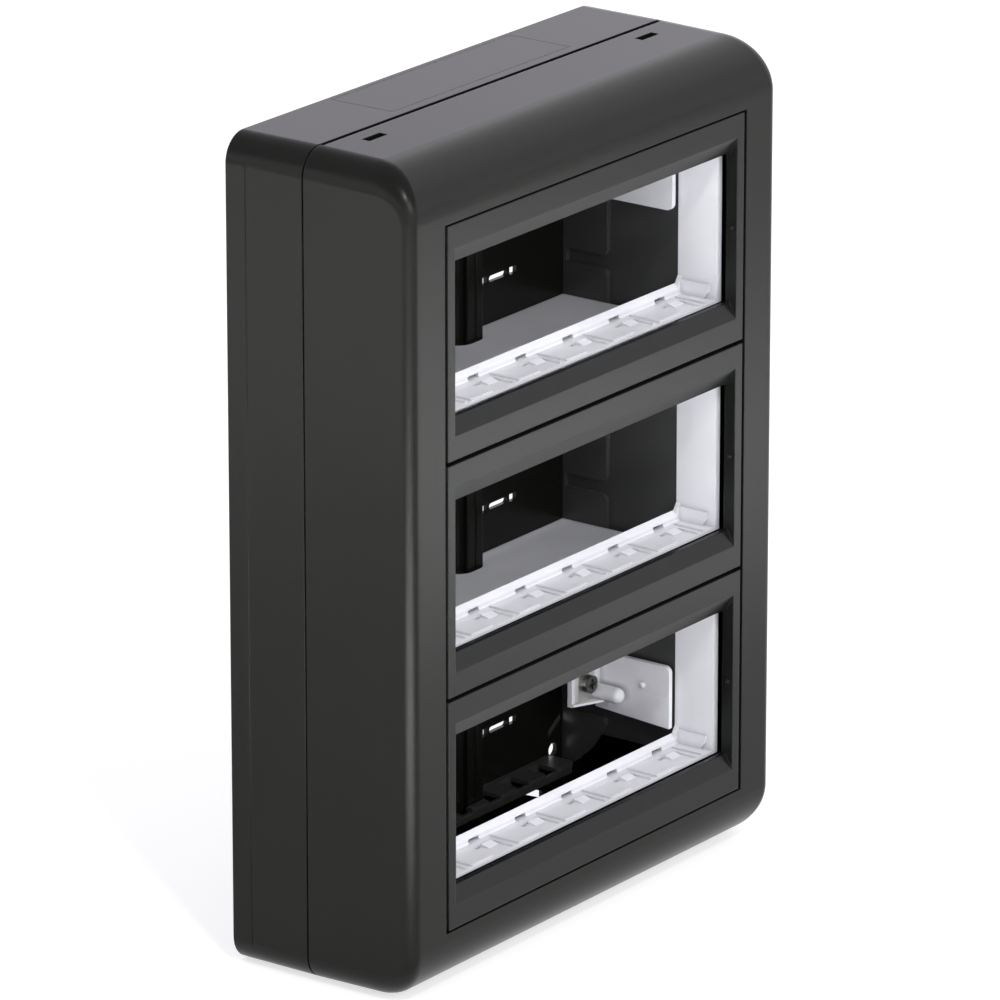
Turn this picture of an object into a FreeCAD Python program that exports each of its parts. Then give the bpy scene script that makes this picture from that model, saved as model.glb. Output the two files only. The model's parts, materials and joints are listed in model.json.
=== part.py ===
"""Surface-mounting box for three rows of wiring-device modules, with its clip-on front cover.

Frame: millimetres, +Z up, -Y towards the room. The wall is the plane Y = 0 and the origin is the
centre of the box's back face. "Depth" below means the distance in front of the wall, so a point at
depth d has Y = -d.
"""
import FreeCAD, Part
import os
import re
import Sketcher

DOC = FreeCAD.newDocument("module_box")
SIZES = DOC.addObject("Spreadsheet::Sheet", "sizes")

DRIVING_DIMENSIONS = {
    # module system
    "module_pitch": 22.5,
    "module_tall": 45.0,
    "module_count": 6,
    "row_pitch": 68.75,
    "row_middle": -0.1,
    # outside of the box and cover
    "box_wide": 175.0,
    "box_tall": 243.0,
    "box_depth": 26.2,
    "seam": 0.6,
    "seam_relief": 1.0,
    "front_depth": 63.4,
    "wall": 2.5,
    "corner_radius": 8.0,
    "brow_radius": 15.5,
    "rim_radius": 3.5,
    "brow_draft": 0.7,
    # back panel
    "panel_back": 1.5,
    "panel_front": 3.0,
    "web_half": 9.0,
    "foot_wide": 4.0,
    "fixing_x": 62.0,
    "fixing_up": 101.0,
    "fixing_radius": 2.1,
    "tie_slot_x": 34.9,
    "tie_slot_below": 16.9,
    "tie_slot_long": 9.1,
    "tie_slot_tall": 1.85,
    "tie_hole_x": 7.1,
    "tie_hole_wide": 3.5,
    "tie_hole_tall": 2.3,
    "slit_tall": 2.2,
    "skirt_wall": 1.6,
    "skirt_gap": 0.3,
    "skirt_front": 29.6,
    "groove_depth": 6.8,
    "groove_wide": 0.3,
    "groove_cut": 0.15,
    "groove_reach": 116.0,
    # trunking entries in the top and bottom of the box
    "entry_half": 42.0,
    "entry_back": 1.8,
    "entry_front": 23.0,
    "entry_gap": 0.15,
    # cover and trims
    "trim_half": 70.8,
    "trim_gap": 1.3,
    "trim_band": 6.8,
    "trim_slope": 4.67,
    "trim_thick": 3.8,
    "trim_inner": 67.5,
    "trim_tip": 1.5,
    "seat_thick": 1.6,
    "seat_inner": 70.3,
    "crossbar_half": 8.2,
    "clip_wide": 12.0,
    "clip_long": 5.0,
    "clip_thick": 1.2,
    "clip_inset": 1.6,
    "pip_radius": 0.6,
    # release slots and snap latches
    "latch_x": 64.4,
    "slot_wide": 8.2,
    "slot_back": 32.4,
    "slot_front": 35.2,
    "latch_wide": 7.0,
    "latch_thick": 1.6,
    "latch_root": 24.5,
    "latch_tip": 38.0,
    "latch_drop": 0.6,
    "hook_tall": 0.35,
    # module carriers
    "carrier_back": 43.0,
    "carrier_front": 56.6,
    "carrier_wall": 1.0,
    "rim_flange": 2.3,
    "rim_thick": 1.4,
    "lip_tall": 3.0,
    "lip_thick": 1.5,
    "lip_fall": 1.1,
    "lip_foot": 0.5,
    "hook_slot_wide": 4.9,
    "hook_slot_tall": 1.15,
    "pilot_offset": 3.6,
    "pilot_depth": 48.5,
    "pilot_wide": 2.3,
    "pilot_long": 1.25,
    "pad_left": 2.2,
    "pad_right": 2.4,
    "pad_back": 48.8,
    "pad_front": 51.5,
    "pad_raise": 0.9,
    "pad_toe": 0.2,
    "rib_raise": 0.5,
    "rib_wide": 0.7,
    "rib_near": 3.5,
    "rib_near_back": 47.8,
    "rib_far": 6.4,
    "rib_far_back": 45.7,
    "rib_front": 56.0,
    "strip_long": 9.7,
    "strip_back": 54.9,
    "strip_front": 56.1,
    "gusset": 2.3,
    "wedge_front": 54.3,
    "wedge_heel": 52.7,
    "wedge_tall": 4.2,
    # shelves
    "shelf_thick": 1.6,
    "shelf_below": 30.0,
    "shelf_half": 66.3,
    "shelf_front": 42.8,
    "post_x": 13.5,
    "post_half": 5.4,
    "post_front": 9.4,
    "ridge_step": 1.7,
    "ridge_left": 2.2,
    "ridge_split": 1.5,
    "ridge_gap": 0.4,
    "ridge_round": 0.5,
    "notch_gap": 1.3,
    "notch_round": 5.0,
    # side frames
    "frame_inner": 66.5,
    "frame_thick": 1.5,
    "frame_front": 18.8,
    "frame_reach": 104.5,
    "frame_foot": 91.6,
    "frame_foot_round": 3.0,
    "frame_knee": 99.7,
    "frame_knee_depth": 13.6,
    "frame_ankle": 104.3,
    "frame_ankle_depth": 8.9,
    "frame_toe": 107.6,
    "frame_slot_low": 19.9,
    "frame_slot_high": 15.9,
    "frame_tab_round": 2.2,
    "rail_thick": 1.5,
    "rail_reach": 95.0,
    # terminal supports
    "support_wall": 1.6,
    "top_support_shift": 3.15,
    "support_near": 0.95,
    "support_far": 18.05,
    "support_far_back": 16.35,
    "support_front": 42.8,
    "support_round": 2.0,
    "support_pip": 1.0,
    "support_pip_depth": 33.4,
    "support_pip_beyond": 6.15,
    "bracket_back": 16.5,
    "bracket_left": 50.6,
    "boss_x": 61.6,
    "boss_beyond": 10.2,
    "boss_radius": 2.4,
    "boss_front": 28.6,
    "bracket_lip_beyond": 11.65,
    "bracket_lip_thick": 0.7,
    "bracket_lip_right": 61.9,
    "bracket_lip_left_front": 18.7,
    "bracket_lip_right_front": 23.8,
    "terminal_x": 56.95,
    "terminal_beyond": 6.55,
    "plate_left": 52.4,
    "plate_right": 60.4,
    "plate_near": 4.1,
    "plate_far": 5.0,
    "plate_clearance": 0.15,
    "terminal_thick": 1.0,
    "screw_head": 2.7,
    "screw_shank": 1.5,
    "screw_fit": 0.05,
    # cable comb at the bottom
    "comb_pitch": 13.85,
    "comb_tongue": 8.2,
    "comb_top": 101.8,
    "comb_thick": 1.4,
    "comb_front": 12.9,
    "comb_count": 9,
    "comb_round": 1.6,
}

ROWS = {"top": 1, "middle": 0, "bottom": -1}
SIDES = {"left": -1, "right": 1}
ENDS = {"top": 1, "bottom": -1}

# x and z of the two ends of each slanting slit in the right half of the back panel
SLITS = ((59.8, -95.6, 65.8, -91.6), (46.3, -109.2, 57.1, -113.7))


# ---------------------------------------------------------------- sheet and formulas
def fill_sheet():
    for row, (name, size) in enumerate(DRIVING_DIMENSIONS.items(), start=1):
        SIZES.set(f"A{row}", name)
        SIZES.set(f"B{row}", str(size))
        SIZES.setAlias(f"B{row}", name)
    DOC.recompute()


def formula(text):
    """A formula with every size name pointed at its cell of the sheet."""
    return re.sub(r"[a-z][a-z_]+", lambda word: "sizes." + word.group(0), str(text))


def size(text):
    """The number that a formula stands for now."""
    return float(SIZES.evalExpression(str(text)))


def row_height(row):
    """Formula for the height of a row's centre line."""
    return f"(row_middle + {ROWS[row]} * row_pitch)"


def module_x(index):
    """Formula for the centre line of a module, counted from the left."""
    return f"(({index} - (module_count - 1) / 2) * module_pitch)"


# ---------------------------------------------------------------- PartDesign helpers
def new_body(name):
    body = DOC.addObject("PartDesign::Body", name)
    body.Label = name
    return body


def draw_loop(sketch, corners):
    """Add a closed loop of straight sides whose corners are bound to the sheet."""
    first = sketch.GeometryCount
    count = len(corners)
    points = [FreeCAD.Vector(size(x), size(y), 0) for x, y in corners]
    for index in range(count):
        sketch.addGeometry(Part.LineSegment(points[index], points[(index + 1) % count]), False)
    for index in range(count):
        here = first + index
        following = first + (index + 1) % count
        sketch.addConstraint(Sketcher.Constraint("Coincident", here, 2, following, 1))
    for index, (x, y) in enumerate(corners):
        for kind, text, value in (("DistanceX", x, points[index].x), ("DistanceY", y, points[index].y)):
            place = sketch.addConstraint(Sketcher.Constraint(kind, -1, 1, first + index, 1, value))
            sketch.setExpression(f"Constraints[{place}]", formula(text))


def draw_circle(sketch, x, y, radius):
    """Add a circle whose centre and radius are bound to the sheet."""
    centre = FreeCAD.Vector(size(x), size(y), 0)
    index = sketch.addGeometry(Part.Circle(centre, FreeCAD.Vector(0, 0, 1), size(radius)), False)
    for kind, text, value in (("DistanceX", x, centre.x), ("DistanceY", y, centre.y)):
        place = sketch.addConstraint(Sketcher.Constraint(kind, -1, 1, index, 3, value))
        sketch.setExpression(f"Constraints[{place}]", formula(text))
    place = sketch.addConstraint(Sketcher.Constraint("Radius", index, size(radius)))
    sketch.setExpression(f"Constraints[{place}]", formula(radius))


def new_sketch(body, role, offset, loops=(), circles=()):
    """A sketch on one of the body's origin planes, moved along the plane's normal."""
    sketch = body.newObject("Sketcher::SketchObject", "outline")
    plane = [item for item in body.Origin.OriginFeatures if item.Role == role][0]
    sketch.AttachmentSupport = [(plane, "")]
    sketch.MapMode = "FlatFace"
    sketch.setExpression("AttachmentOffset.Base.z", formula(offset))
    for corners in loops:
        draw_loop(sketch, corners)
    for x, y, radius in circles:
        draw_circle(sketch, x, y, radius)
    return sketch


def rectangle(left, right, low, high):
    return [(left, low), (right, low), (right, high), (left, high)]


def centred(half_wide, middle, half_tall):
    return rectangle(f"-({half_wide})", half_wide, f"{middle} - ({half_tall})", f"{middle} + ({half_tall})")


def add_layer(body, back, front, loops=(), circles=()):
    """Material between two depths, with its outline seen from the room."""
    sketch = new_sketch(body, "XZ_Plane", back, loops, circles)
    pad = body.newObject("PartDesign::Pad", "layer")
    pad.Profile = sketch
    pad.setExpression("Length", formula(f"({front}) - ({back})"))
    DOC.recompute()
    return pad


def cut_layer(body, back, front, loops=(), circles=()):
    """Remove material between two depths; the volume has to fall."""
    before = body.Shape.Volume
    sketch = new_sketch(body, "XZ_Plane", front, loops, circles)
    pocket = body.newObject("PartDesign::Pocket", "hollow")
    pocket.Profile = sketch
    pocket.setExpression("Length", formula(f"({front}) - ({back})"))
    DOC.recompute()
    assert body.Shape.Volume < before - 0.01, f"{body.Label}: a pocket cuts nothing"
    return pocket


def add_run(body, left, right, loops):
    """Material between two X places, with its outline drawn in (Y, Z)."""
    sketch = new_sketch(body, "YZ_Plane", left, loops)
    pad = body.newObject("PartDesign::Pad", "run")
    pad.Profile = sketch
    pad.setExpression("Length", formula(f"({right}) - ({left})"))
    DOC.recompute()
    return pad


def round_edges(body, radius, wanted):
    """Fillet the body's edges for which wanted(edge centre, edge) is true."""
    base = body.Tip
    names = [f"Edge{index}" for index, edge in enumerate(base.Shape.Edges, start=1)
             if wanted(edge.CenterOfMass, edge)]
    assert names, f"{body.Label}: no edge to round"
    fillet = body.newObject("PartDesign::Fillet", "rounding")
    fillet.Base = (base, names)
    fillet.setExpression("Radius", formula(radius))
    DOC.recompute()
    return fillet


def runs_along(edge, axis):
    """True for a straight edge that lies along the named axis."""
    box = edge.BoundBox
    lengths = {"x": box.XLength, "y": box.YLength, "z": box.ZLength}
    return lengths[axis] > 0.05 and sum(lengths.values()) - lengths[axis] < 0.01


# ---------------------------------------------------------------- Part helpers
def block(name, left, right, back, front, low, high):
    """A Part box between two X places, two depths and two heights."""
    box = DOC.addObject("Part::Box", name)
    box.setExpression("Length", formula(f"({right}) - ({left})"))
    box.setExpression("Width", formula(f"({front}) - ({back})"))
    box.setExpression("Height", formula(f"({high}) - ({low})"))
    box.setExpression("Placement.Base.x", formula(left))
    box.setExpression("Placement.Base.y", formula(f"-({front})"))
    box.setExpression("Placement.Base.z", formula(low))
    return box


def ramp(name, left, right, back, front, at_back, at_front):
    """A Part wedge between two X places and two depths; each end has its low and high formulas."""
    wedge = DOC.addObject("Part::Wedge", name)
    ends = (("Xmin", left), ("Xmax", right), ("X2min", left), ("X2max", right), ("Ymin", f"-({front})"),
            ("Ymax", f"-({back})"), ("Zmin", at_front[0]), ("Zmax", at_front[1]), ("Z2min", at_back[0]),
            ("Z2max", at_back[1]))
    for name_of_limit, text in ends:
        wedge.setExpression(name_of_limit, formula(text))
    return wedge


def ball(name, radius, x, depth, z):
    sphere = DOC.addObject("Part::Sphere", name)
    sphere.setExpression("Radius", formula(radius))
    sphere.setExpression("Placement.Base.x", formula(x))
    sphere.setExpression("Placement.Base.y", formula(f"-({depth})"))
    sphere.setExpression("Placement.Base.z", formula(z))
    return sphere


def softened(name, base, radius, wanted):
    """A Part fillet over the edges for which wanted(edge centre, edge) is true."""
    DOC.recompute()
    fillet = DOC.addObject("Part::Fillet", name)
    fillet.Base = base
    reach = size(radius)
    chosen = [(index, reach, reach) for index, edge in enumerate(base.Shape.Edges, start=1)
              if wanted(edge.CenterOfMass, edge)]
    assert chosen, f"{name}: no edge to round"
    fillet.Edges = chosen
    fillet.Label = name
    DOC.recompute()
    return fillet


def rod(name, radius, x, z, back, front):
    """A Part cylinder along Y between two depths."""
    cylinder = DOC.addObject("Part::Cylinder", name)
    cylinder.setExpression("Radius", formula(radius))
    cylinder.setExpression("Height", formula(f"({front}) - ({back})"))
    cylinder.Placement.Rotation = FreeCAD.Rotation(FreeCAD.Vector(1, 0, 0), 90)
    cylinder.setExpression("Placement.Base.x", formula(x))
    cylinder.setExpression("Placement.Base.y", formula(f"-({back})"))
    cylinder.setExpression("Placement.Base.z", formula(z))
    return cylinder


def joined(name, pieces):
    fuse = DOC.addObject("Part::MultiFuse", name)
    fuse.Shapes = pieces
    fuse.Refine = True
    fuse.Label = name
    DOC.recompute()
    return fuse


def cut_away(name, base, tools):
    cut = DOC.addObject("Part::Cut", name)
    cut.Base = base
    cut.Tool = tools[0] if len(tools) == 1 else joined(f"{name}_tools", tools)
    cut.Refine = True
    cut.Label = name
    DOC.recompute()
    assert cut.Shape.Volume < base.Shape.Volume - 0.01, f"{name}: the tools cut nothing"
    return cut


# ---------------------------------------------------------------- back box
def between(first, second, side):
    """Two formulas put in rising order for the side they are on."""
    return (first, second) if side > 0 else (second, first)


def tie_holes(row):
    """Loops of the short upright holes at the ends of one row's two slots."""
    middle = f"{row_height(row)} - tie_slot_below"
    loops = []
    for side in SIDES.values():
        for hole in (-1, 1):
            centre = f"({side} * tie_slot_x + {hole} * tie_hole_x)"
            loops.append(rectangle(f"{centre} - tie_hole_wide / 2", f"{centre} + tie_hole_wide / 2",
                                   f"{middle} - tie_hole_tall / 2", f"{middle} + tie_hole_tall / 2"))
    return loops


def drain_slits():
    """Loops of the slanting slits beside the bottom fixing holes."""
    loops = []
    for side in SIDES.values():
        for near_x, near_z, far_x, far_z in SLITS:
            loops.append([(f"{side} * {near_x}", f"{near_z} - slit_tall / 2"),
                          (f"{side} * {far_x}", f"{far_z} - slit_tall / 2"),
                          (f"{side} * {far_x}", f"{far_z} + slit_tall / 2"),
                          (f"{side} * {near_x}", f"{near_z} + slit_tall / 2")])
    return loops


def round_ended_slots(row):
    """Solids that cut one row's two round-ended slots through the back panel."""
    middle = f"({row_height(row)} - tie_slot_below)"
    radius = "tie_slot_tall / 2"
    straight = "(tie_slot_long - tie_slot_tall) / 2"
    cutters = []
    for side in SIDES.values():
        centre = f"({side} * tie_slot_x)"
        cutters.append(block("slot_middle", f"{centre} - {straight}", f"{centre} + {straight}", "-1",
                             "panel_front + 1", f"{middle} - {radius}", f"{middle} + {radius}"))
        for end in (-1, 1):
            cutters.append(rod("slot_end", radius, f"{centre} + {end} * {straight}", middle, "-1",
                               "panel_front + 1"))
    return cutters


def add_post(body, side):
    """A guide post standing on the back panel, stepped on the left, with a groove down its front."""
    centre = f"{side} * post_x"
    reach = "box_tall / 2 - wall - 2.5"
    add_layer(body, "panel_back", "post_front - ridge_step",
              [rectangle(f"{centre} - post_half", f"{centre} + post_half", f"-({reach})", reach)])
    ridges = [rectangle(f"{centre} - ridge_left", f"{centre} + ridge_split", f"-({reach})", reach),
              rectangle(f"{centre} + ridge_split + ridge_gap", f"{centre} + post_half", f"-({reach})", reach)]
    add_layer(body, "post_front - ridge_step - 0.5", "post_front", ridges)


def box_tray():
    """Tray with a recessed back panel and two guide posts."""
    half_wide = "box_wide / 2"
    half_tall = "box_tall / 2"
    body = new_body("box_tray")
    add_layer(body, "0", "box_depth", [centred(half_wide, "0", half_tall)])
    round_edges(body, "corner_radius", lambda at, edge: runs_along(edge, "y"))
    cut_layer(body, "panel_front", "box_depth", [centred(f"{half_wide} - wall", "0", f"{half_tall} - wall")])
    inner = size("box_wide / 2 - wall")
    round_edges(body, "corner_radius - wall",
                lambda at, edge: runs_along(edge, "y") and abs(abs(at.x) - inner) < 0.01)
    recesses = []
    for side in SIDES.values():
        left, right = between(f"{side} * web_half", f"{side} * ({half_wide} - foot_wide)", side)
        recesses.append(rectangle(left, right, f"-({half_tall} - foot_wide)", f"{half_tall} - foot_wide"))
    cut_layer(body, "0", "panel_back", recesses)
    for side in SIDES.values():
        add_post(body, side)
    post_front = -size("post_front")
    round_edges(body, "ridge_round", lambda at, edge: runs_along(edge, "z") and abs(at.y - post_front) < 0.01)
    for row in ROWS:
        cut_layer(body, "panel_back", "panel_front", tie_holes(row))
    cut_layer(body, "panel_back", "panel_front", drain_slits())
    return body


def locating_skirt():
    """Rim inside the seam that the cover slips over, notched where the snap latches stand."""
    half_wide = "box_wide / 2 - wall"
    half_tall = "box_tall / 2 - wall"
    ring = new_body("skirt_ring")
    add_layer(ring, "box_depth - 3", "skirt_front",
              [centred(f"{half_wide} - skirt_gap", "0", f"{half_tall} - skirt_gap")])
    round_edges(ring, "corner_radius - wall", lambda at, edge: runs_along(edge, "y"))
    cut_layer(ring, "box_depth - 3", "skirt_front",
              [centred(f"{half_wide} - skirt_wall", "0", f"{half_tall} - skirt_wall")])
    root = new_body("skirt_root")
    add_layer(root, "box_depth - 3", "box_depth", [centred(f"{half_wide} + 0.1", "0", f"{half_tall} + 0.1")])
    round_edges(root, "corner_radius - wall", lambda at, edge: runs_along(edge, "y"))
    cut_layer(root, "box_depth - 3", "box_depth",
              [centred(f"{half_wide} - skirt_wall", "0", f"{half_tall} - skirt_wall")])
    return [ring, root]


def latch_notches():
    """Solids that open the skirt where the snap latches stand."""
    notches = []
    for side in SIDES.values():
        for end in ENDS.values():
            low, high = between(f"{end} * (box_tall / 2 - wall - 5)", f"{end} * (box_tall / 2 - wall)", end)
            middle = f"{side} * latch_x"
            notches.append(block("latch_notch", f"{middle} - latch_wide / 2 - 0.6",
                                 f"{middle} + latch_wide / 2 + 0.6", "latch_root - 2", "skirt_front + 1",
                                 low, high))
    return notches


def entry_opening(end):
    """Solid that opens the top or bottom wall of the box for trunking."""
    low, high = between(f"{end} * (box_tall / 2 - wall - 1)", f"{end} * (box_tall / 2 + 1)", end)
    return block("entry_opening", "-entry_half", "entry_half", "entry_back", "entry_front", low, high)


def fixing_holes():
    """The four round holes for wall screws, near the corners of the back panel."""
    return [rod("fixing_hole", "fixing_radius", f"{side} * fixing_x", f"{end} * fixing_up", "-1",
                "panel_front + 1")
            for side in SIDES.values() for end in ENDS.values()]


def side_grooves():
    """Fine lines down both sides, where the side walls may be broken out."""
    grooves = []
    for side in SIDES.values():
        left, right = between(f"{side} * (box_wide / 2 - groove_cut)", f"{side} * (box_wide / 2 + 1)", side)
        grooves.append(block("side_groove", left, right, "groove_depth - groove_wide / 2",
                             "groove_depth + groove_wide / 2", "-groove_reach", "groove_reach"))
    return grooves


def back_box():
    tools = [entry_opening(end) for end in ENDS.values()]
    tools += fixing_holes() + side_grooves() + latch_notches()
    for row in ROWS:
        tools += round_ended_slots(row)
    return cut_away("back_box", joined("box_with_skirt", [box_tray()] + locating_skirt()), tools)


def entry_blank(end_name):
    """Plate that closes a trunking entry, with a flange that lies inside the wall."""
    end = ENDS[end_name]
    outside = "box_tall / 2"
    outer = between(f"{end} * ({outside} - wall + 0.4)", f"{end} * ({outside})", end)
    stem = between(f"{end} * ({outside} - wall - 0.3)", f"{end} * ({outside} - wall + 0.6)", end)
    inner = between(f"{end} * ({outside} - wall - 1.2)", f"{end} * ({outside} - wall - 0.05)", end)
    pieces = [
        block("plate", "-entry_half + entry_gap", "entry_half - entry_gap", "entry_back + entry_gap",
              "entry_front - entry_gap", *outer),
        block("stem", "-entry_half + 1", "entry_half - 1", "panel_front + 0.5", "entry_front - 1", *stem),
        block("flange", "-entry_half - 1.5", "entry_half + 1.5", "panel_front + 0.3", "box_depth - 3.1",
              *inner),
    ]
    return joined(f"{end_name}_entry_blank", pieces)


# ---------------------------------------------------------------- front cover
def cover_blank():
    """Solid outside of the cover: drafted top and bottom that roll over into a flat front."""
    body = new_body("cover_blank")
    back = "-(box_depth + seam)"
    profile = [(back, "-box_tall / 2"), (back, "box_tall / 2"), ("-front_depth", "box_tall / 2 - brow_draft"),
               ("-front_depth", "-box_tall / 2 + brow_draft")]
    add_run(body, "-box_wide / 2", "box_wide / 2", [profile])
    front = -size("front_depth")
    round_edges(body, "brow_radius", lambda at, edge: runs_along(edge, "x") and abs(at.y - front) < 0.01)
    return body


def cover_outside(blank):
    """Round the side edges: wide from the seam to the brows, narrow down the flat front."""
    back = -size("box_depth + seam")
    brow_middle = -size("front_depth - brow_radius / 2")
    half_wide = size("box_wide / 2")
    fillet = DOC.addObject("Part::Fillet", "cover_outside")
    fillet.Base = blank
    edges = []
    for index, edge in enumerate(blank.Shape.Edges, start=1):
        at = edge.CenterOfMass
        if abs(abs(at.x) - half_wide) < 0.01 and at.y < back - 0.5:
            ends = (edge.valueAt(edge.FirstParameter), edge.valueAt(edge.LastParameter))
            start, end = (size("corner_radius") if point.y > brow_middle else size("rim_radius")
                          for point in ends)
            edges.append((index, start, end))
    fillet.Edges = edges
    DOC.recompute()
    return fillet


def cover_hollow():
    """Solid of the space inside the cover's shell."""
    body = new_body("cover_hollow")
    back = "-(box_depth + seam) + 1"
    front = "-(front_depth - wall)"
    high = "(box_tall / 2 - wall)"
    profile = [(back, f"-{high}"), (back, high), (front, f"{high} - brow_draft"),
               (front, f"-{high} + brow_draft")]
    half_wide = "(box_wide / 2 - wall)"
    add_run(body, f"-{half_wide}", half_wide, [profile])
    front_at = -size("front_depth - wall")
    round_edges(body, "brow_radius - wall",
                lambda at, edge: runs_along(edge, "x") and abs(at.y - front_at) < 0.01)
    back_at = -size("box_depth + seam - 1")
    side_at = size(half_wide)
    round_edges(body, "corner_radius - wall",
                lambda at, edge: abs(abs(at.x) - side_at) < 0.01 and at.y < back_at - 0.5)
    return body


ROWS_TOP = "(row_middle + 1.5 * row_pitch)"
ROWS_BOTTOM = "(row_middle - 1.5 * row_pitch)"
TRIM_SIDE = "(trim_half + trim_gap)"


def trim_seat():
    """Ledge behind the trims: a frame round the opening with a bar between each two rows."""
    body = new_body("trim_seat")
    front = "front_depth - trim_thick - 0.1"
    above = "row_pitch / 2 - crossbar_half"
    windows = [centred("seat_inner", row_height(row), above) for row in ROWS]
    outline = rectangle(f"-({TRIM_SIDE} + 3)", f"{TRIM_SIDE} + 3", f"{ROWS_BOTTOM} - 3", f"{ROWS_TOP} + 3")
    add_layer(body, f"{front} - seat_thick", front, [outline] + windows)
    return body


def seat_collar():
    """Short wall that ties the ledge to the back of the cover's front."""
    body = new_body("seat_collar")
    inside = rectangle(f"-{TRIM_SIDE}", TRIM_SIDE, ROWS_BOTTOM, ROWS_TOP)
    outside = rectangle(f"-({TRIM_SIDE} + 2)", f"{TRIM_SIDE} + 2", f"{ROWS_BOTTOM} - 2", f"{ROWS_TOP} + 2")
    add_layer(body, "front_depth - trim_thick - 1", "front_depth - wall + 0.2", [outside, inside])
    return body


def release_slots():
    """Solids that cut the screwdriver slots over the latches, through the top and bottom."""
    slots = []
    for side in SIDES.values():
        for end in ENDS.values():
            low, high = between(f"{end} * (box_tall / 2 - wall - 1)", f"{end} * (box_tall / 2 + 1)", end)
            middle = f"{side} * latch_x"
            slots.append(block("release_slot", f"{middle} - slot_wide / 2", f"{middle} + slot_wide / 2",
                               "slot_back", "slot_front", low, high))
    return slots


def seam_reliefs():
    """Solids that cut the cover back a little more along its straight top and bottom edges."""
    reliefs = []
    for end in ENDS.values():
        low, high = between(f"{end} * (box_tall / 2 - wall - 1)", f"{end} * (box_tall / 2 + 1)", end)
        reliefs.append(block("seam_relief", "-(box_wide / 2 - corner_radius)", "box_wide / 2 - corner_radius",
                             "box_depth", "box_depth + seam + seam_relief", low, high))
    return reliefs


def clip_heights(row, end, clearance):
    """Low and high formulas of a trim clip, or of its hole with some clearance."""
    far = "row_pitch / 2 - trim_gap / 2 - clip_inset"
    return between(f"{row_height(row)} + {end} * ({far} - clip_thick - {clearance})",
                   f"{row_height(row)} + {end} * ({far} + {clearance})", end)


def clip_windows(row):
    """Solids that cut the holes in the ledge for one trim's four clips."""
    windows = []
    for side in SIDES.values():
        for end in ENDS.values():
            low, high = clip_heights(row, end, "0.3")
            middle = f"{side} * trim_half / 2"
            windows.append(block("clip_window", f"{middle} - clip_wide / 2 - 0.4",
                                 f"{middle} + clip_wide / 2 + 0.4",
                                 "front_depth - trim_thick - seat_thick - 1", "front_depth - trim_thick",
                                 low, high))
    return windows


def front_cover():
    outside = cover_outside(cover_blank())
    opening = block("trim_opening", f"-{TRIM_SIDE}", TRIM_SIDE, "front_depth - 6", "front_depth + 1",
                    ROWS_BOTTOM, ROWS_TOP)
    shell = cut_away("cover_shell", outside, [cover_hollow(), opening])
    tools = release_slots() + seam_reliefs()
    for row in ROWS:
        tools += clip_windows(row)
    return cut_away("front_cover", joined("cover_with_seat", [shell, seat_collar(), trim_seat()]), tools)


# ---------------------------------------------------------------- row trims
def row_trim(row):
    """Frame that finishes one row: flat bands, sloped bars above and below, straight sides."""
    middle = row_height(row)
    back = "front_depth - trim_thick"
    crest = "((row_pitch - trim_gap) / 2 - trim_band)"
    body = new_body(f"{row}_trim_frame")
    add_layer(body, back, "front_depth", [centred("trim_half", middle, "(row_pitch - trim_gap) / 2"),
                                          centred("trim_inner", middle, crest)])
    pieces = [body]
    for end in ENDS.values():
        bar = new_body(f"{row}_sloped_bar")
        base = f"{middle} + {end} * ({crest} + 0.5)"
        tip = f"{middle} + {end} * ({crest} - trim_slope)"
        profile = [("-front_depth", base), (f"-({back})", base), (f"-({back})", tip),
                   (f"-({back} + trim_tip)", tip), ("-front_depth", f"{middle} + {end} * {crest}")]
        add_run(bar, "-(trim_inner + 0.5)", "trim_inner + 0.5", [profile])
        pieces.append(bar)
        for side in SIDES.values():
            centre = f"{side} * trim_half / 2"
            pieces.append(block("clip", f"{centre} - clip_wide / 2", f"{centre} + clip_wide / 2",
                                f"{back} - clip_long", f"{back} + 0.5", *clip_heights(row, end, "0")))
    for side in SIDES.values():
        pieces.append(ball("pip", "pip_radius", f"{side} * trim_inner", "front_depth - trim_thick / 2",
                           middle))
    return joined(f"{row}_row_trim", pieces)


# ---------------------------------------------------------------- module carriers
WINDOW_HALF = "(module_count * module_pitch / 2)"


def module_floor_pieces(row, end):
    """Ramps, ribs and strips on the window's floor or ceiling, one set for each module."""
    face = f"({row_height(row)} + {end} * module_tall / 2)"
    root = f"{face} + {end} * 0.4"
    high_end = between(f"{face} - {end} * pad_raise", root, end)
    low_end = between(f"{face} - {end} * pad_toe", root, end)
    rib = between(f"{face} - {end} * rib_raise", root, end)
    count = int(size("module_count"))
    pieces = []
    for index in range(count):
        centre = module_x(index)
        pieces.append(ramp("pad", f"{centre} - pad_left", f"{centre} + pad_right", "pad_back", "pad_front",
                           high_end, low_end))
        for offset in ("rib_near", "rib_far"):
            pieces.append(block("rib", f"{centre} + {offset} - rib_wide / 2",
                                f"{centre} + {offset} + rib_wide / 2", f"{offset}_back", "rib_front", *rib))
        if index < count - 1:
            pieces.append(block("strip", f"{centre} + rib_far", f"{centre} + rib_far + strip_long",
                                "strip_back", "strip_front", *rib))
    return pieces


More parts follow.
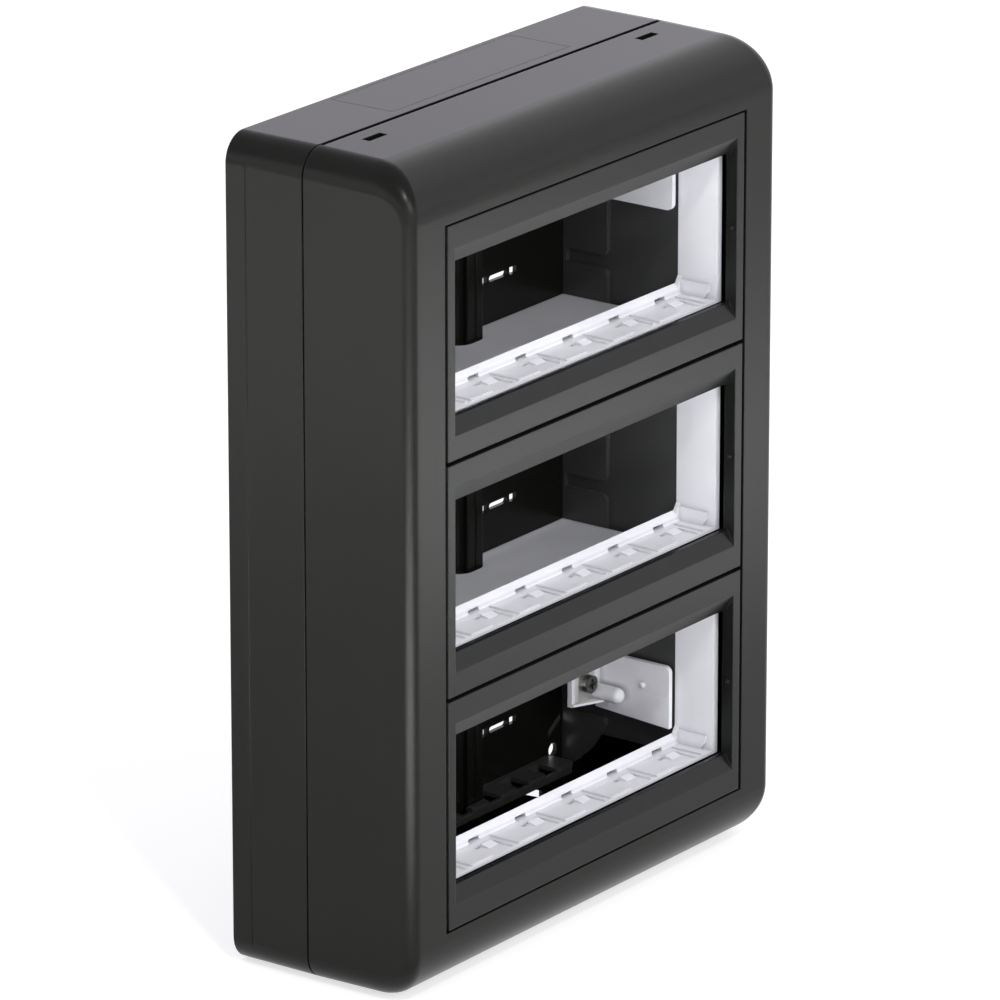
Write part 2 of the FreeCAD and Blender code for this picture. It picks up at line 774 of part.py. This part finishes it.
def hook_cutters(row, end):
    """Solids that cut each module's hook slot through the lip and its pilot hole through the floor."""
    face = f"({row_height(row)} + {end} * module_tall / 2)"
    slot = between(f"{face} - {end} * hook_slot_tall", face, end)
    through = between(f"{face} - {end} * 0.2", f"{face} + {end} * (carrier_wall + 1)", end)
    tools = []
    for index in range(int(size("module_count"))):
        centre = module_x(index)
        tools.append(block("hook_slot", f"{centre} - hook_slot_wide / 2", f"{centre} + hook_slot_wide / 2",
                           "carrier_back - 1", "carrier_back + lip_thick + lip_foot + 0.2", *slot))
        pilot = f"{centre} - pilot_offset"
        tools.append(block("pilot_hole", f"{pilot} - pilot_wide / 2", f"{pilot} + pilot_wide / 2",
                           "pilot_depth - pilot_long / 2", "pilot_depth + pilot_long / 2", *through))
    return tools


def lip_profile(row, end):
    """Outline in (Y, Z) of a hook lip: sloping top, upright front and a splayed foot."""
    back = "-carrier_back"
    front = "-(carrier_back + lip_thick)"
    places = [(back, "-0.1"), (back, "lip_tall"), (front, "(lip_tall - lip_fall)"), (front, "lip_foot"),
              ("-(carrier_back + lip_thick + lip_foot)", "-0.1")]
    face = f"({row_height(row)} + {end} * module_tall / 2)"
    return [(y, f"{face} - {end} * {height}") for y, height in places]


def carrier_tube(row):
    """Open tube round one row of modules, with side flanges in front and hook lips at its back."""
    middle = row_height(row)
    half_tall = "(module_tall / 2)"
    body = new_body(f"{row}_carrier_tube")
    add_layer(body, "carrier_back", "carrier_front",
              [centred(f"{WINDOW_HALF} + carrier_wall", middle, f"{half_tall} + carrier_wall"),
               centred(WINDOW_HALF, middle, half_tall)])
    add_layer(body, "carrier_front - rim_thick", "carrier_front",
              [centred(f"{WINDOW_HALF} + rim_flange", middle, f"{half_tall} + carrier_wall"),
               centred(f"{WINDOW_HALF} + 0.01", middle, f"{half_tall} + 0.01")])
    for end in ENDS.values():
        add_run(body, f"-{WINDOW_HALF} - 0.1", f"{WINDOW_HALF} + 0.1", [lip_profile(row, end)])
        base = f"{middle} + {end} * ({half_tall} - lip_tall + lip_fall + 0.1)"
        for side in SIDES.values():
            wall_x = f"{side} * ({WINDOW_HALF} + 0.1)"
            corner = [(wall_x, base), (f"{side} * ({WINDOW_HALF} - gusset)", base),
                      (wall_x, f"{middle} + {end} * ({half_tall} - lip_tall - gusset)")]
            add_layer(body, "carrier_back", "carrier_back + lip_thick", [corner])
    return body


def side_wedge(row, side):
    """Guide wedge low on an end wall of the window."""
    floor = f"({row_height(row)} - module_tall / 2)"
    body = new_body(f"{row}_wedge")
    back = "-(carrier_back + 0.1)"
    profile = [(back, f"{floor} - 0.1"), ("-wedge_heel", f"{floor} - 0.1"),
               ("-wedge_front", f"{floor} + wedge_tall / 2"), ("-wedge_front", f"{floor} + wedge_tall"),
               (back, f"{floor} + wedge_tall")]
    left, right = between(f"{side} * ({WINDOW_HALF} - 0.8)", f"{side} * ({WINDOW_HALF} + 0.2)", side)
    add_run(body, left, right, [profile])
    return body


def module_carrier(row):
    """Frame that takes one row of modules."""
    pieces = [carrier_tube(row)]
    tools = []
    for end in ENDS.values():
        pieces += module_floor_pieces(row, end)
        tools += hook_cutters(row, end)
    for side in SIDES.values():
        pieces.append(side_wedge(row, side))
    return cut_away(f"{row}_row_carrier", joined(f"{row}_carrier_frame", pieces), tools)


# ---------------------------------------------------------------- shelves
def shelf_top(row):
    return f"({row_height(row)} - shelf_below)"


def shelf(name, row):
    """Partition below a row, from the back panel to the carriers, notched round the posts."""
    top = shelf_top(row)
    plate = block(f"{name}_plate", "-shelf_half", "shelf_half", "panel_front + 0.2", "shelf_front",
                  f"{top} - shelf_thick", top)
    front_at = -size("post_front + notch_gap")
    notches = []
    for side in SIDES.values():
        centre = f"{side} * post_x"
        half = "(post_half + notch_gap)"
        notch = block("post_notch", f"{centre} - {half}", f"{centre} + {half}", "0", "post_front + notch_gap",
                      f"{top} - shelf_thick - 1", f"{top} + 1")
        notches.append(softened("rounded_notch", notch, "notch_round",
                                lambda at, edge: runs_along(edge, "z") and abs(at.y - front_at) < 0.01))
    return cut_away(name, plate, notches)


# ---------------------------------------------------------------- side frames
def side_frame(side_name):
    """Upright cable guide on the back panel, notched beside every row, with a rail behind the carriers."""
    side = SIDES[side_name]
    body = new_body(f"{side_name}_guide_plate")
    back = "-(panel_front + 0.05)"
    outline = [(back, "frame_reach"), ("-frame_front", "frame_reach"), ("-frame_front", "-frame_foot"),
               ("-frame_knee_depth", "-frame_knee"), ("-frame_ankle_depth", "-frame_ankle"),
               (back, "-frame_toe")]
    left, right = between(f"{side} * frame_inner", f"{side} * (frame_inner + frame_thick)", side)
    add_run(body, left, right, [outline])
    foot = -size("frame_foot")
    round_edges(body, "frame_foot_round", lambda at, edge: runs_along(edge, "x") and abs(at.z - foot) < 0.01)
    notches = []
    for row in ROWS:
        notches.append(block("row_notch", f"{left} - 1", f"{right} + 1", "panel_front + 1.2",
                             "frame_front + 1", f"{row_height(row)} - frame_slot_low",
                             f"{row_height(row)} - frame_slot_high"))
    mouth = -size("frame_front")
    tab_heights = [size(f"{row_height(row)} - {edge_of_slot}") for row in ROWS
                   for edge_of_slot in ("frame_slot_low", "frame_slot_high")]
    guide = softened(f"{side_name}_guide", cut_away(f"{side_name}_notched_plate", body, notches),
                     "frame_tab_round",
                     lambda at, edge: runs_along(edge, "x") and abs(at.y - mouth) < 0.01
                     and any(abs(at.z - height) < 0.01 for height in tab_heights))
    outer = between(f"{side} * (frame_inner + frame_thick - 0.1)",
                    f"{side} * (frame_inner + frame_thick + rail_thick)", side)
    rail = block("rail", *outer, "panel_front + 0.05", "carrier_back - 0.1", "-rail_reach", "rail_reach")
    return joined(f"{side_name}_cable_guide", [guide, rail])


# ---------------------------------------------------------------- terminals
def beyond(end, distance):
    """Formula for a height beyond the middle of the outer row at one end of the box."""
    if end > 0:
        return f"({row_height('top')} + top_support_shift + ({distance}))"
    return f"({row_height('bottom')} - ({distance}))"


def support_side_plate(end):
    """Upright plate of a terminal support; its far edge slants and its near front corner is round."""
    body = new_body("side_plate")
    near = beyond(end, "-support_near")
    profile = [("-bracket_back", near), ("-support_front", near),
               ("-support_front", beyond(end, "support_far")),
               ("-bracket_back", beyond(end, "support_far_back"))]
    add_run(body, "frame_inner - 0.15 - support_wall", "frame_inner - 0.15", [profile])
    corner = (-size("support_front"), size(near))
    round_edges(body, "support_round", lambda at, edge: runs_along(edge, "x")
                and abs(at.y - corner[0]) < 0.01 and abs(at.z - corner[1]) < 0.01)
    return body


def bracket_lip(end):
    """Thin ledge beyond the terminal, deeper towards the side plate."""
    body = new_body("bracket_lip")
    low, high = between(beyond(end, "bracket_lip_beyond"),
                        beyond(end, "bracket_lip_beyond + bracket_lip_thick"), end)
    outline = [("bracket_left", "-bracket_back"), ("bracket_left", "-bracket_lip_left_front"),
               ("bracket_lip_right", "-bracket_lip_right_front"), ("bracket_lip_right", "-bracket_back")]
    sketch = new_sketch(body, "XY_Plane", low, [outline])
    pad = body.newObject("PartDesign::Pad", "ledge")
    pad.Profile = sketch
    pad.setExpression("Length", formula(f"({high}) - ({low})"))
    DOC.recompute()
    return body


def terminal_support(end_name):
    """White arm beside an outer row: side plate, bracket for the terminal, and a round boss."""
    end = ENDS[end_name]
    side_face = "frame_inner - 0.15"
    bracket_front = "bracket_back + support_wall"
    boss_height = beyond(end, "boss_beyond")
    pieces = [
        support_side_plate(end),
        bracket_lip(end),
        block("bracket", "bracket_left", side_face, "bracket_back", bracket_front,
              *between(beyond(end, "1"), beyond(end, "boss_beyond + 2.4"), end)),
        rod("boss", "boss_radius", "boss_x", boss_height, "bracket_back", "boss_front - boss_radius"),
        ball("boss_end", "boss_radius", "boss_x", "boss_front - boss_radius", boss_height),
        block("boss_web", "boss_x", side_face, "bracket_back", "boss_front - 3",
              *between(beyond(end, "boss_beyond - 0.7"), beyond(end, "boss_beyond + 0.7"), end)),
        ball("side_pip", "support_pip", f"{side_face} - support_wall", "support_pip_depth",
             beyond(end, "support_pip_beyond")),
    ]
    hole = rod("screw_hole", "screw_shank + screw_fit", "terminal_x", beyond(end, "terminal_beyond"),
               "bracket_back - 1", f"{bracket_front} + 1")
    return cut_away(f"{end_name}_terminal_support", joined(f"{end_name}_support_blank", pieces), [hole])


def terminal_plate(end_name):
    """Small metal plate on the bracket that the terminal screw goes through, cut round the boss."""
    end = ENDS[end_name]
    back = "bracket_back + support_wall"
    plate = block("plate_blank", "plate_left", "plate_right", back, f"{back} + terminal_thick",
                  *between(beyond(end, "terminal_beyond - plate_near"),
                           beyond(end, "terminal_beyond + plate_far"), end))
    hole = rod("plate_hole", "screw_shank + screw_fit", "terminal_x", beyond(end, "terminal_beyond"),
               back, f"{back} + terminal_thick + 1")
    relief = rod("boss_relief", "boss_radius + plate_clearance", "boss_x", beyond(end, "boss_beyond"),
                 f"{back} - 1", f"{back} + terminal_thick + 1")
    return cut_away(f"{end_name}_terminal_plate", plate, [hole, relief])


def terminal_screw(end_name):
    """Cross-head screw: shank through the plate and bracket, and a head with a cross recess."""
    height = beyond(ENDS[end_name], "terminal_beyond")
    seat = "(bracket_back + support_wall + terminal_thick)"
    shank = rod("shank", "screw_shank", "terminal_x", height, "bracket_back - 7", f"{seat} + 0.5")
    head = rod("head", "screw_head", "terminal_x", height, seat, f"{seat} + 1.8")
    recess = [block("cross", f"terminal_x - {across}", f"terminal_x + {across}", f"{seat} + 0.9",
                    f"{seat} + 3", f"{height} - {upright}", f"{height} + {upright}")
              for across, upright in (("1.6", "0.45"), ("0.45", "1.6"))]
    return cut_away(f"{end_name}_terminal_screw", joined(f"{end_name}_screw_blank", [shank, head]), recess)


# ---------------------------------------------------------------- cable comb
def cable_comb():
    """Row of tongues over the bottom entry, joined by a strip along the back panel."""
    top = "-comb_top"
    low = f"{top} - comb_thick"
    half = "((comb_count - 1) * comb_pitch / 2 + comb_tongue / 2 - 0.8)"
    pieces = [block("comb_strip", f"-{half}", half, "panel_front + 0.1", "panel_front + 2.4",
                    f"{low} - 3", top),
              block("comb_tie", f"-{half}", half, "post_front + 1.5", "post_front + 3", f"{low} - 2",
                    f"{low} + 0.2")]
    front_at = -size("comb_front")
    for index in range(int(size("comb_count"))):
        centre = f"({index} - (comb_count - 1) / 2) * comb_pitch"
        tongue = block("tongue", f"{centre} - comb_tongue / 2", f"{centre} + comb_tongue / 2",
                       "panel_front + 2", "comb_front", low, top)
        pieces.append(softened("rounded_tongue", tongue, "comb_round",
                               lambda at, edge: runs_along(edge, "z") and abs(at.y - front_at) < 0.01))
    clearances = [block("post_clearance", f"{side} * post_x - post_half - 0.5",
                        f"{side} * post_x + post_half + 0.5", "0", "post_front + 0.5", f"{low} - 4",
                        f"{top} + 1")
                  for side in SIDES.values()]
    return cut_away("cable_comb", joined("comb_blank", pieces), clearances)


# ---------------------------------------------------------------- snap latches
def snap_latch(side_name, end_name):
    """Springy tongue under a release slot, with a low hook on its outer face."""
    side = SIDES[side_name]
    end = ENDS[end_name]
    middle = f"{side} * latch_x"
    outer = "box_tall / 2 - wall - latch_drop"
    tongue = block("tongue", f"{middle} - latch_wide / 2", f"{middle} + latch_wide / 2", "latch_root",
                   "latch_tip", *between(f"{end} * ({outer} - latch_thick)", f"{end} * ({outer})", end))
    hook = block("hook", f"{middle} - latch_wide / 2 + 0.5", f"{middle} + latch_wide / 2 - 0.5", "slot_back",
                 "slot_front", *between(f"{end} * ({outer} - 0.5)", f"{end} * ({outer} + hook_tall)", end))
    return joined(f"{end_name}_{side_name}_latch", [tongue, hook])


# ---------------------------------------------------------------- whole assembly
def build_nodes():
    """Every separate piece, by its node name."""
    nodes = [back_box(), front_cover()]
    nodes += [entry_blank(end_name) for end_name in ENDS]
    nodes += [row_trim(row) for row in ROWS]
    nodes += [module_carrier(row) for row in ROWS]
    nodes += [shelf("upper_shelf", "top"), shelf("lower_shelf", "middle")]
    nodes += [side_frame(side_name) for side_name in SIDES]
    for end_name in ENDS:
        nodes += [terminal_support(end_name), terminal_plate(end_name), terminal_screw(end_name)]
    nodes.append(cable_comb())
    nodes += [snap_latch(side_name, end_name) for side_name in SIDES for end_name in ENDS]
    return nodes


def check_document(nodes):
    """Stop if any object failed or any piece is not one or more valid solids."""
    for item in DOC.Objects:
        bad = [state for state in item.State if state in ("Invalid", "Error")]
        assert not bad, f"{item.Name} ({item.Label}): {item.State}"
    for node in nodes:
        assert not node.Shape.isNull(), f"{node.Label}: no shape"
        assert node.Shape.isValid(), f"{node.Label}: invalid shape"
        assert len(node.Shape.Solids) == 1, f"{node.Label}: {len(node.Shape.Solids)} solids"


def write_nodes(nodes):
    os.makedirs("parts", exist_ok=True)
    for node in nodes:
        node.Shape.exportStep(os.path.join("parts", f"{node.Label}.step"))
        box = node.Shape.BoundBox
        print(f"{node.Label:26s} {node.Shape.Volume:10.1f} mm3  "
              f"x {box.XMin:7.2f} {box.XMax:7.2f}  y {box.YMin:7.2f} {box.YMax:7.2f}  "
              f"z {box.ZMin:7.2f} {box.ZMax:7.2f}")


fill_sheet()
NODES = build_nodes()
DOC.recompute()
check_document(NODES)
write_nodes(NODES)
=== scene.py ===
"""Looks of the surface-mounting module box and its plate cover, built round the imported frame."""

import json
import math

import bpy
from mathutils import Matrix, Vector


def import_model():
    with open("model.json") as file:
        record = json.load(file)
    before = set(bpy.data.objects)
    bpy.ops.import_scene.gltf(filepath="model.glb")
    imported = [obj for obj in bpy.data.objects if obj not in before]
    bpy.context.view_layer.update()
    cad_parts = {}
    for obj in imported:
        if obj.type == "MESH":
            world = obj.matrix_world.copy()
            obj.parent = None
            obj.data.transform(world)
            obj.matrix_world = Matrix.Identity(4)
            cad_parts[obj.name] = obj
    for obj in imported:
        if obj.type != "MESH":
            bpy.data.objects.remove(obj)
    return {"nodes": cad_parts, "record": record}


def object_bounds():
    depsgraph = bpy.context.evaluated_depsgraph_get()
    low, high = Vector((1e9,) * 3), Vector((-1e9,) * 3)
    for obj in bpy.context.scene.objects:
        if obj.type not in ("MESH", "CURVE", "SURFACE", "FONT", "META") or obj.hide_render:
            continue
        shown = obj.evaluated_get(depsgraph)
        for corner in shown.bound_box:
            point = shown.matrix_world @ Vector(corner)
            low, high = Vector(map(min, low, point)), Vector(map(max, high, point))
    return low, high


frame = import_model()
cad_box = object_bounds()
MM = 0.001

# The view of the photograph: angles in degrees, lengths in metres, lens and sensor in millimetres
VIEW_AZIMUTH = -53.77
VIEW_ELEVATION = 18.46
VIEW_DISTANCE = 2.434
VIEW_SHIFT_RIGHT = 0.0235
VIEW_SHIFT_UP = -0.0069
VIEW_LENS = 306.5
VIEW_SENSOR = 36
VIEW_NEAR, VIEW_FAR = 0.1, 60

# Plastics: sizes in metres, grain and mottling as noise scales per metre
GRAIN_SCALE = 2600.0
GRAIN_DEPTH = 0.05 * MM
MOTTLING_SCALE = 35.0
MOTTLING = (0.88, 1.12)
# reach of the painted shade in tight corners and grooves
CORNER_SHADE_REACH = 2.0 * MM

# Steel: the roughness wanders between these two
STEEL_SCALE = 400.0
STEEL_ROUGHNESS = (0.22, 0.42)

# Studio: brightness round the box by the sine of the elevation, and its faint lilac tint
SKY = ((0.0, 1.5), (0.35, 1.5), (0.40, 0.45), (0.60, 0.6))
SKY_TINT = (1.0, 0.965, 1.05)
FLOOR_SIZE = 24
FLOOR_GREY = 0.5
FLOOR_GLOW = 0.65
POOL_HEIGHT = 1.2
POOL_BLEND = 0.9
POOL_LAMP_RADIUS = 0.05


# ---------------------------------------------------------------- shader helpers
def nodes_of(tree):
    """Empty a node tree, and give a short way to add nodes to it and to link them."""
    tree.nodes.clear()

    def add(kind, **values):
        node = tree.nodes.new("ShaderNode" + kind)
        for name, value in values.items():
            setattr(node, name, value)
        return node

    return add, tree.links.new


def new_material(name):
    material = bpy.data.materials.new(name)
    material.use_nodes = True
    return material, *nodes_of(material.node_tree)


def noise(add, link, position, scale):
    made = add("TexNoise")
    made.inputs["Scale"].default_value = scale
    made.inputs["Detail"].default_value = 2.0
    link(position, made.inputs["Vector"])
    return made.outputs["Fac"]


def spread(add, link, value, low, high):
    """Stretch a value that runs from 0 to 1 so that it runs from low to high."""
    made = add("MapRange")
    made.inputs["To Min"].default_value = low
    made.inputs["To Max"].default_value = high
    link(value, made.inputs["Value"])
    return made.outputs["Result"]


def painted_corner_shade(add, link, brightness, corner_shade_level):
    """The brightness, brought down in tight corners and grooves by painted shade from ambient occlusion.
    """
    corners = add("AmbientOcclusion", samples=6)
    corners.inputs["Distance"].default_value = CORNER_SHADE_REACH
    both = add("Math", operation="MULTIPLY")
    link(brightness, both.inputs[0])
    link(spread(add, link, corners.outputs["AO"], corner_shade_level, 1.0), both.inputs[1])
    return both.outputs["Value"]


# ---------------------------------------------------------------- materials
def moulded_plastic(name, colour, roughness, grain, specular=0.5, rounding=0.15, corner_shade_level=1.0):
    """Injection-moulded plastic: a fine sparked grain, faint mottling and edges softened in the mould.

    rounding is the radius of the softened edges in millimetres. The last argument is the brightness left
    in tight corners and grooves by painted shade, where 1 leaves them as they are.
    """
    material, add, link = new_material(name)
    place = add("TexCoord").outputs["Object"]
    shader = add("BsdfPrincipled")
    shader.inputs["Roughness"].default_value = roughness
    shader.inputs["Specular IOR Level"].default_value = specular
    brightness = spread(add, link, noise(add, link, place, MOTTLING_SCALE), *MOTTLING)
    # painted shade: tight corners and grooves are darkened by ambient occlusion
    if corner_shade_level < 1.0:
        brightness = painted_corner_shade(add, link, brightness, corner_shade_level)
    tint = add("VectorMath", operation="SCALE")
    tint.inputs[0].default_value = colour
    link(brightness, tint.inputs["Scale"])
    link(tint.outputs["Vector"], shader.inputs["Base Color"])
    edge = add("Bevel", samples=4)
    edge.inputs["Radius"].default_value = rounding * MM
    bump = add("Bump")
    bump.inputs["Strength"].default_value = grain
    bump.inputs["Distance"].default_value = GRAIN_DEPTH
    link(noise(add, link, place, GRAIN_SCALE), bump.inputs["Height"])
    link(edge.outputs["Normal"], bump.inputs["Normal"])
    link(bump.outputs["Normal"], shader.inputs["Normal"])
    link(shader.outputs["BSDF"], add("OutputMaterial").inputs["Surface"])
    return material


def plated_steel(name, colour):
    """Zinc-plated steel whose polish wanders a little over the surface."""
    material, add, link = new_material(name)
    place = add("TexCoord").outputs["Object"]
    shader = add("BsdfPrincipled")
    shader.inputs["Metallic"].default_value = 1.0
    shader.inputs["Base Color"].default_value = (*colour, 1)
    rough = spread(add, link, noise(add, link, place, STEEL_SCALE), *STEEL_ROUGHNESS)
    link(rough, shader.inputs["Roughness"])
    link(shader.outputs["BSDF"], add("OutputMaterial").inputs["Surface"])
    return material


COVER = moulded_plastic("cover_plastic", (0.006, 0.0068, 0.0052), 0.26, 0.12, specular=0.15, rounding=0.4)
TRIM = moulded_plastic("trim_plastic", (0.0085, 0.0095, 0.0082), 0.26, 0.1, specular=0.16, rounding=0.5)
BOX = moulded_plastic("box_plastic", (0.0065, 0.0072, 0.0056), 0.26, 0.12, specular=0.15, rounding=0.4)
# white plastic: painted shade darkens its corners, grooves and slots
WHITE = moulded_plastic("white_plastic", (0.82, 0.83, 0.855), 0.35, 0.1, corner_shade_level=0.45)
# a lighter copy of the black plastic for the guides and comb inside the box: painted light standing in
# for the dim light in there
LIT_INNER_PLASTIC = moulded_plastic("inner_plastic_painted_light", (0.042, 0.043, 0.042), 0.3, 0.12, specular=0.5, rounding=0.4)
STEEL = plated_steel("plated_steel", (0.75, 0.74, 0.70))
# a darker copy of the plated steel for the terminal screws: painted shade of their recesses
SHADED_STEEL = plated_steel("steel_painted_shade", (0.16, 0.16, 0.15))
MATERIALS = {
    "cover_plastic": COVER,
    "trim_plastic": TRIM,
    "box_plastic": BOX,
    "white_plastic": WHITE,
    "plated_steel": STEEL,
}

# Pieces given their own copies of their slot's material: a lighter black plastic for the guides and comb,
# painted light for the dim inside of the box, and a darker steel for the terminal screws, painted shade
# of their recesses
SPECIAL = {
    "left_cable_guide": LIT_INNER_PLASTIC,
    "right_cable_guide": LIT_INNER_PLASTIC,
    "cable_comb": LIT_INNER_PLASTIC,
    "top_terminal_screw": SHADED_STEEL,
    "bottom_terminal_screw": SHADED_STEEL,
}


def dress_pieces():
    """Give every CAD piece the material of its slot, or its own."""
    for row in frame["record"]["subparts"]:
        piece = frame["nodes"][row["node"]]
        piece.data.materials.clear()
        piece.data.materials.append(SPECIAL.get(row["node"], MATERIALS[row["material_slot"]]))


# ---------------------------------------------------------------- studio
def direction(azimuth, elevation):
    """Unit vector towards an azimuth and elevation in degrees; azimuth 0 is straight in front."""
    a, e = math.radians(azimuth), math.radians(elevation)
    return Vector((math.sin(a) * math.cos(e), -math.cos(a) * math.cos(e), math.sin(e)))


def face_back(thing, back):
    """Turn a camera or lamp so that it looks against the given direction."""
    thing.rotation_mode = "QUATERNION"
    thing.rotation_quaternion = (-back).to_track_quat("-Z", "Y")


def new_object(name, data):
    made = bpy.data.objects.new(name, data)
    bpy.context.scene.collection.objects.link(made)
    return made


def camera():
    back = direction(VIEW_AZIMUTH, VIEW_ELEVATION)
    right = Vector((0, 0, 1)).cross(back).normalized()
    up = back.cross(right)
    made = new_object("camera", bpy.data.cameras.new("camera"))
    made.location = back * VIEW_DISTANCE + right * VIEW_SHIFT_RIGHT + up * VIEW_SHIFT_UP
    face_back(made, back)
    made.data.lens = VIEW_LENS
    made.data.sensor_width = VIEW_SENSOR
    made.data.clip_start, made.data.clip_end = VIEW_NEAR, VIEW_FAR
    bpy.context.scene.camera = made


def floor(level):
    """Plain pale floor that glows a little, so that it stays white round the box."""
    bpy.ops.mesh.primitive_plane_add(size=FLOOR_SIZE, location=(0, 0, level))
    plane = bpy.context.object
    plane.name = "floor"
    material, add, link = new_material("floor_paint")
    shader = add("BsdfPrincipled")
    shader.inputs["Base Color"].default_value = (FLOOR_GREY, FLOOR_GREY, FLOOR_GREY, 1)
    shader.inputs["Roughness"].default_value = 0.9
    shader.inputs["Specular IOR Level"].default_value = 0.1
    shader.inputs["Emission Color"].default_value = (1, 1, 1, 1)
    shader.inputs["Emission Strength"].default_value = FLOOR_GLOW
    link(shader.outputs["BSDF"], add("OutputMaterial").inputs["Surface"])
    plane.data.materials.append(material)


def world():
    """Studio walls: bright low down, dim above the box and a little brighter overhead."""
    made = bpy.data.worlds.new("studio")
    bpy.context.scene.world = made
    made.use_nodes = True
    add, link = nodes_of(made.node_tree)
    up = add("SeparateXYZ")
    link(add("TexCoord").outputs["Generated"], up.inputs["Vector"])
    ramp = add("ValToRGB")
    while len(ramp.color_ramp.elements) < len(SKY):
        ramp.color_ramp.elements.new(0.5)
    for element, (height, grey) in zip(ramp.color_ramp.elements, SKY):
        element.position = height
        element.color = (*(grey * part for part in SKY_TINT), 1)
    link(up.outputs["Z"], ramp.inputs["Fac"])
    shade = add("Background")
    shade.inputs["Strength"].default_value = 1.0
    link(ramp.outputs["Color"], shade.inputs["Color"])
    link(shade.outputs["Background"], add("OutputWorld").inputs["Surface"])


def lamp(name, azimuth, elevation, distance, size, power):
    """A soft rectangular lamp aimed at the middle of the box."""
    made = new_object(name, bpy.data.lights.new(name, "AREA"))
    made.data.shape = "RECTANGLE"
    made.data.size, made.data.size_y = size
    made.data.energy = power
    back = direction(azimuth, elevation)
    made.location = back * distance
    face_back(made, back)


def pool(name, x, y, radius, power):
    """A soft round pool of light on the floor, which the glossy faces mirror."""
    made = new_object(name, bpy.data.lights.new(name, "SPOT"))
    made.location = (x, y, cad_box[0].z + POOL_HEIGHT)
    made.data.spot_size = 2 * math.atan(radius / POOL_HEIGHT)
    made.data.spot_blend = POOL_BLEND
    made.data.shadow_soft_size = POOL_LAMP_RADIUS
    made.data.energy = power


dress_pieces()
bpy.context.scene.view_settings.view_transform = "Standard"
camera()
floor(cad_box[0].z)
world()
lamp("key", -36, 49, 2.2, (0.13, 0.13), 13)
lamp("fill", -18, 29, 2.4, (1.4, 0.8), 18)
lamp("brow_light", 87, 37, 2.2, (2.8, 0.8), 9)
pool("front_pool", 0.31, -0.42, 0.27, 285)
pool("rim_pool", -0.33, -0.25, 0.24, 1150)
pool("side_pool", -0.72, 0.36, 0.40, 200)
